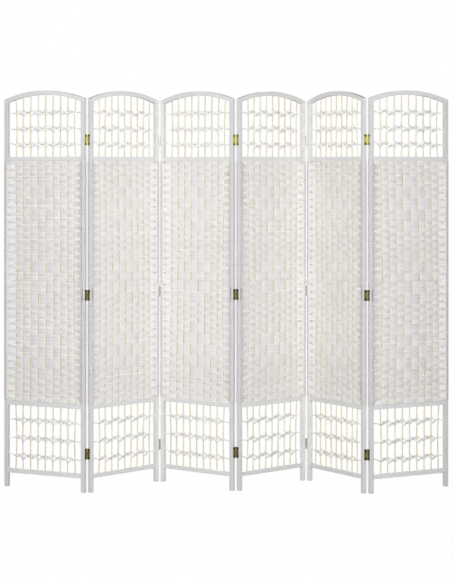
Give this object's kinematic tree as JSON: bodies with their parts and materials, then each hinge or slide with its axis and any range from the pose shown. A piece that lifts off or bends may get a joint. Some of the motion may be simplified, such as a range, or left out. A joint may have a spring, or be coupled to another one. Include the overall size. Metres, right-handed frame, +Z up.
{
  "type": "folding room divider",
  "caption": "Free-standing zig-zag screen of arched white wooden panels with woven paper-cord infill on upright sticks, joined by brass butt hinges so that it folds flat",
  "frame": {"origin": "on the floor, under the middle of the bounding box of the screen as it stands in its zig-zag", "axes": "+X along the row of panels, +Y from the front (the viewer's side) to the back, +Z up"},
  "size_m": [1.9136, 0.3492, 1.7],
  "materials": {
    "frame": "white satin paint on wood",
    "stick": "pale bamboo, matt",
    "weave": "white twisted paper cord, matt",
    "cord": "white twisted paper cord, matt",
    "brass": "brass plated, satin"
  },
  "bodies": {
    "panel_1": {"left_stile_1": "frame", "right_stile_1": "frame", "arch_rail_1": "frame", "cross_rails_1": "frame", "sticks_1": "stick", "weave_1": "weave", "lattice_cords_1": "cord", "hinge_leaves_1": "brass", "hinge_screws_1": "brass", "hinge_pins_1": "brass"},
    "panel_2": {"left_stile_2": "frame", "right_stile_2": "frame", "arch_rail_2": "frame", "cross_rails_2": "frame", "sticks_2": "stick", "weave_2": "weave", "lattice_cords_2": "cord", "hinge_leaves_2": "brass", "hinge_screws_2": "brass", "hinge_pins_2": "brass"},
    "panel_3": {"left_stile_3": "frame", "right_stile_3": "frame", "arch_rail_3": "frame", "cross_rails_3": "frame", "sticks_3": "stick", "weave_3": "weave", "lattice_cords_3": "cord", "hinge_leaves_3": "brass", "hinge_screws_3": "brass", "hinge_pins_3": "brass"},
    "panel_4": {"left_stile_4": "frame", "right_stile_4": "frame", "arch_rail_4": "frame", "cross_rails_4": "frame", "sticks_4": "stick", "weave_4": "weave", "lattice_cords_4": "cord", "hinge_leaves_4": "brass", "hinge_screws_4": "brass", "hinge_pins_4": "brass"},
    "panel_5": {"left_stile_5": "frame", "right_stile_5": "frame", "arch_rail_5": "frame", "cross_rails_5": "frame", "sticks_5": "stick", "weave_5": "weave", "lattice_cords_5": "cord", "hinge_leaves_5": "brass", "hinge_screws_5": "brass", "hinge_pins_5": "brass"},
    "panel_6": {"left_stile_6": "frame", "right_stile_6": "frame", "arch_rail_6": "frame", "cross_rails_6": "frame", "sticks_6": "stick", "weave_6": "weave", "lattice_cords_6": "cord", "hinge_leaves_6": "brass", "hinge_screws_6": "brass"}
  },
  "joints": [
    {"name": "fold_1_2", "type": "hinge", "parent": "panel_1", "child": "panel_2", "pos_m": [-0.58773, -0.13491, 0.833], "axis": [0, 0, 1], "range_deg": [-70.5, 109.5]},
    {"name": "fold_2_3", "type": "hinge", "parent": "panel_2", "child": "panel_3", "pos_m": [-0.29073, 0.13337, 0.833], "axis": [0, 0, -1], "range_deg": [-82.6, 97.4]},
    {"name": "fold_3_4", "type": "hinge", "parent": "panel_3", "child": "panel_4", "pos_m": [0.04071, -0.09096, 0.833], "axis": [0, 0, 1], "range_deg": [-79.5, 100.5]},
    {"name": "fold_4_5", "type": "hinge", "parent": "panel_4", "child": "panel_5", "pos_m": [0.35179, 0.16086, 0.833], "axis": [0, 0, -1], "range_deg": [-98, 82]},
    {"name": "fold_5_6", "type": "hinge", "parent": "panel_5", "child": "panel_6", "pos_m": [0.59492, -0.15705, 0.833], "axis": [0, 0, 1], "range_deg": [-83.4, 96.6]}
  ]
}
